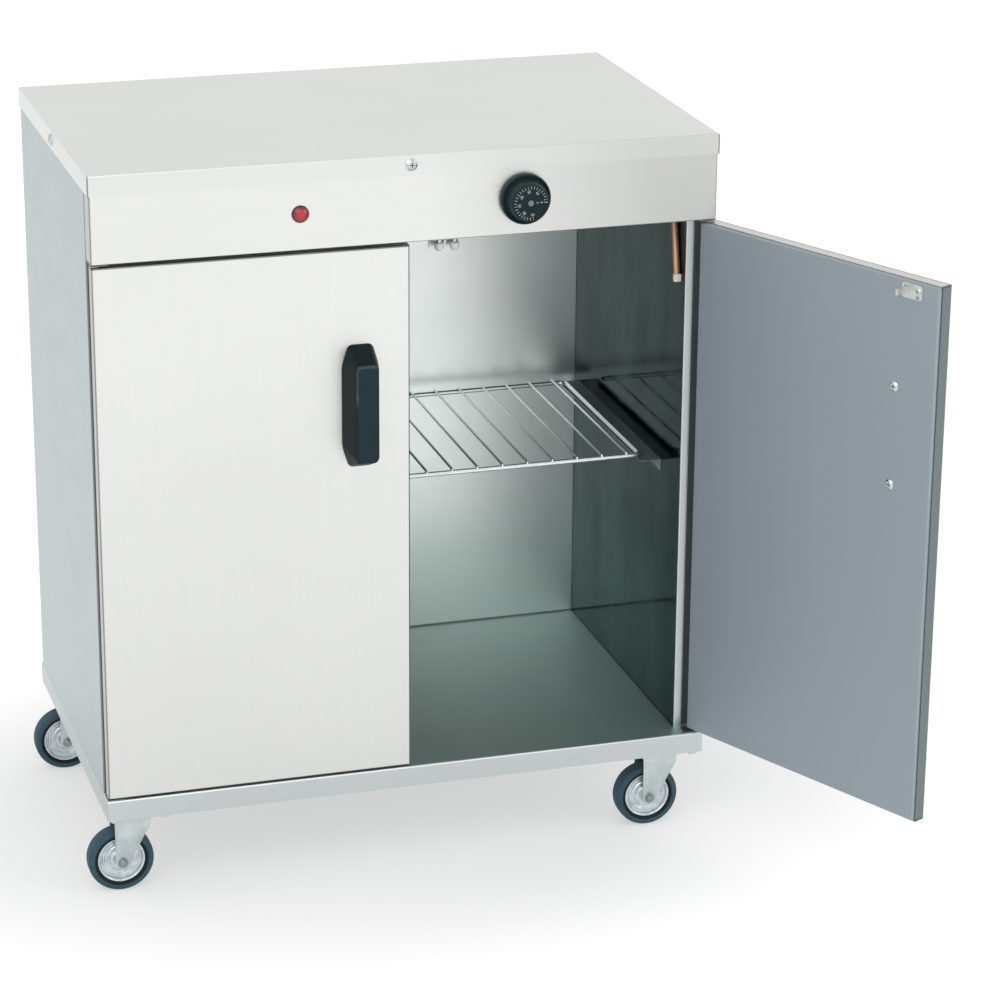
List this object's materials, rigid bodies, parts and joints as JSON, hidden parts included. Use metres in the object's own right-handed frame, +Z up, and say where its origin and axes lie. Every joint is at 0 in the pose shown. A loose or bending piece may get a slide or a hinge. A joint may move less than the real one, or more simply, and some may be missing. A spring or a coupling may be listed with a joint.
{
  "type": "plate warmer cabinet",
  "caption": "Free-standing two-door heated plate cabinet with a folded lid, a control panel with dial and lamp, a wire shelf and swivel casters.",
  "frame": {"origin": "on the floor, under the centre of the cabinet's footprint (doors and wheels not counted)", "axes": "+Z up, +X to the right seen from the front, the doors face -Y"},
  "size_m": [0.9435, 0.7906, 0.896],
  "materials": {
    "stainless_outside": "fine brushed",
    "stainless_inside": "polished",
    "stainless_matte": "satin",
    "galvanised_sheet": "galvanised",
    "plated_screws": "bright plated",
    "zinc_plate": "bright zinc plated",
    "chromed_wire": "bright plated",
    "mineral_wool": "loose fibre",
    "white_nylon": "satin",
    "grey_plastic": "satin",
    "dark_plastic": "satin",
    "black_gloss_plastic": "semi-gloss with white dial marks",
    "red_lens": "glossy",
    "copper": "drawn copper",
    "element_steel": "heat darkened",
    "grey_rubber": "matt"
  },
  "bodies": {
    "cabinet": {"lid": "stainless_outside", "control_panel": "stainless_outside", "side_panel_left": "stainless_outside", "side_panel_right": "stainless_outside", "back_panel": "galvanised_sheet", "panel_screws": "plated_screws", "liner_left": "stainless_inside", "liner_right": "stainless_inside", "liner_back": "stainless_inside", "ceiling_panel": "stainless_inside", "header_bar": "stainless_inside", "base_tray": "stainless_outside", "base_plate": "galvanised_sheet", "wall_insulation": "mineral_wool", "hinge_plates": "zinc_plate", "catch_brackets": "zinc_plate", "catch_rollers": "white_nylon", "thermostat_body": "grey_plastic", "thermostat_bulb": "copper", "bulb_clip": "white_nylon", "lamp_body": "dark_plastic", "lamp_lens": "red_lens", "terminal_block": "white_nylon", "cable_gland": "dark_plastic", "heating_element": "element_steel", "element_clips": "zinc_plate", "shelf_runners": "stainless_inside", "caster_plates": "zinc_plate", "caster_bolts": "plated_screws"},
    "left_door": {"left_door_pan": "stainless_outside", "left_door_inner": "stainless_matte", "left_door_bushes": "white_nylon", "left_handle": "dark_plastic", "left_handle_screws": "plated_screws", "left_strike": "zinc_plate"},
    "right_door": {"right_door_pan": "stainless_outside", "right_door_inner": "stainless_matte", "right_door_bushes": "white_nylon", "right_handle": "dark_plastic", "right_handle_screws": "plated_screws", "right_strike": "zinc_plate"},
    "shelf": {"wire_shelf": "chromed_wire"},
    "dial": {"thermostat_knob": "black_gloss_plastic", "thermostat_shaft": "zinc_plate"},
    "caster_front_left": {"fork_front_left": "zinc_plate", "axle_front_left": "plated_screws"},
    "wheel_front_left": {"rim_front_left": "zinc_plate", "tyre_front_left": "grey_rubber"},
    "caster_front_right": {"fork_front_right": "zinc_plate", "axle_front_right": "plated_screws"},
    "wheel_front_right": {"rim_front_right": "zinc_plate", "tyre_front_right": "grey_rubber"},
    "caster_rear_left": {"fork_rear_left": "zinc_plate", "axle_rear_left": "plated_screws"},
    "wheel_rear_left": {"rim_rear_left": "zinc_plate", "tyre_rear_left": "grey_rubber"},
    "caster_rear_right": {"fork_rear_right": "zinc_plate", "axle_rear_right": "plated_screws"},
    "wheel_rear_right": {"rim_rear_right": "zinc_plate", "tyre_rear_right": "grey_rubber"}
  },
  "joints": [
    {"name": "left_door_swing", "type": "hinge", "parent": "cabinet", "child": "left_door", "pos_m": [-0.368, -0.214, 0.4615], "axis": [0, 0, -1], "range_deg": [0, 180]},
    {"name": "right_door_swing", "type": "hinge", "parent": "cabinet", "child": "right_door", "pos_m": [0.368, -0.214, 0.4615], "axis": [0, 0, 1], "range_deg": [-116, 64]},
    {"name": "shelf_slide", "type": "slide", "parent": "cabinet", "child": "shelf", "axis": [0, -1, 0], "range_m": [0, 0.08]},
    {"name": "thermostat_turn", "type": "hinge", "parent": "cabinet", "child": "dial", "pos_m": [0.136, -0.2375, 0.835], "axis": [0, 1, 0], "range_deg": [0, 270]},
    {"name": "swivel_front_left", "type": "hinge", "parent": "cabinet", "child": "caster_front_left", "pos_m": [-0.335, -0.185, 0.095], "axis": [0, 0, 1], "continuous": true},
    {"name": "roll_front_left", "type": "hinge", "parent": "caster_front_left", "child": "wheel_front_left", "pos_m": [-0.355, -0.185, 0.04], "axis": [0, 1, 0], "continuous": true},
    {"name": "swivel_front_right", "type": "hinge", "parent": "cabinet", "child": "caster_front_right", "pos_m": [0.335, -0.185, 0.095], "axis": [0, 0, 1], "continuous": true},
    {"name": "roll_front_right", "type": "hinge", "parent": "caster_front_right", "child": "wheel_front_right", "pos_m": [0.315, -0.185, 0.04], "axis": [0, 1, 0], "continuous": true},
    {"name": "swivel_rear_left", "type": "hinge", "parent": "cabinet", "child": "caster_rear_left", "pos_m": [-0.335, 0.185, 0.095], "axis": [0, 0, 1], "continuous": true},
    {"name": "roll_rear_left", "type": "hinge", "parent": "caster_rear_left", "child": "wheel_rear_left", "pos_m": [-0.355, 0.185, 0.04], "axis": [0, 1, 0], "continuous": true},
    {"name": "swivel_rear_right", "type": "hinge", "parent": "cabinet", "child": "caster_rear_right", "pos_m": [0.335, 0.185, 0.095], "axis": [0, 0, 1], "continuous": true},
    {"name": "roll_rear_right", "type": "hinge", "parent": "caster_rear_right", "child": "wheel_rear_right", "pos_m": [0.315, 0.185, 0.04], "axis": [0, 1, 0], "continuous": true}
  ]
}
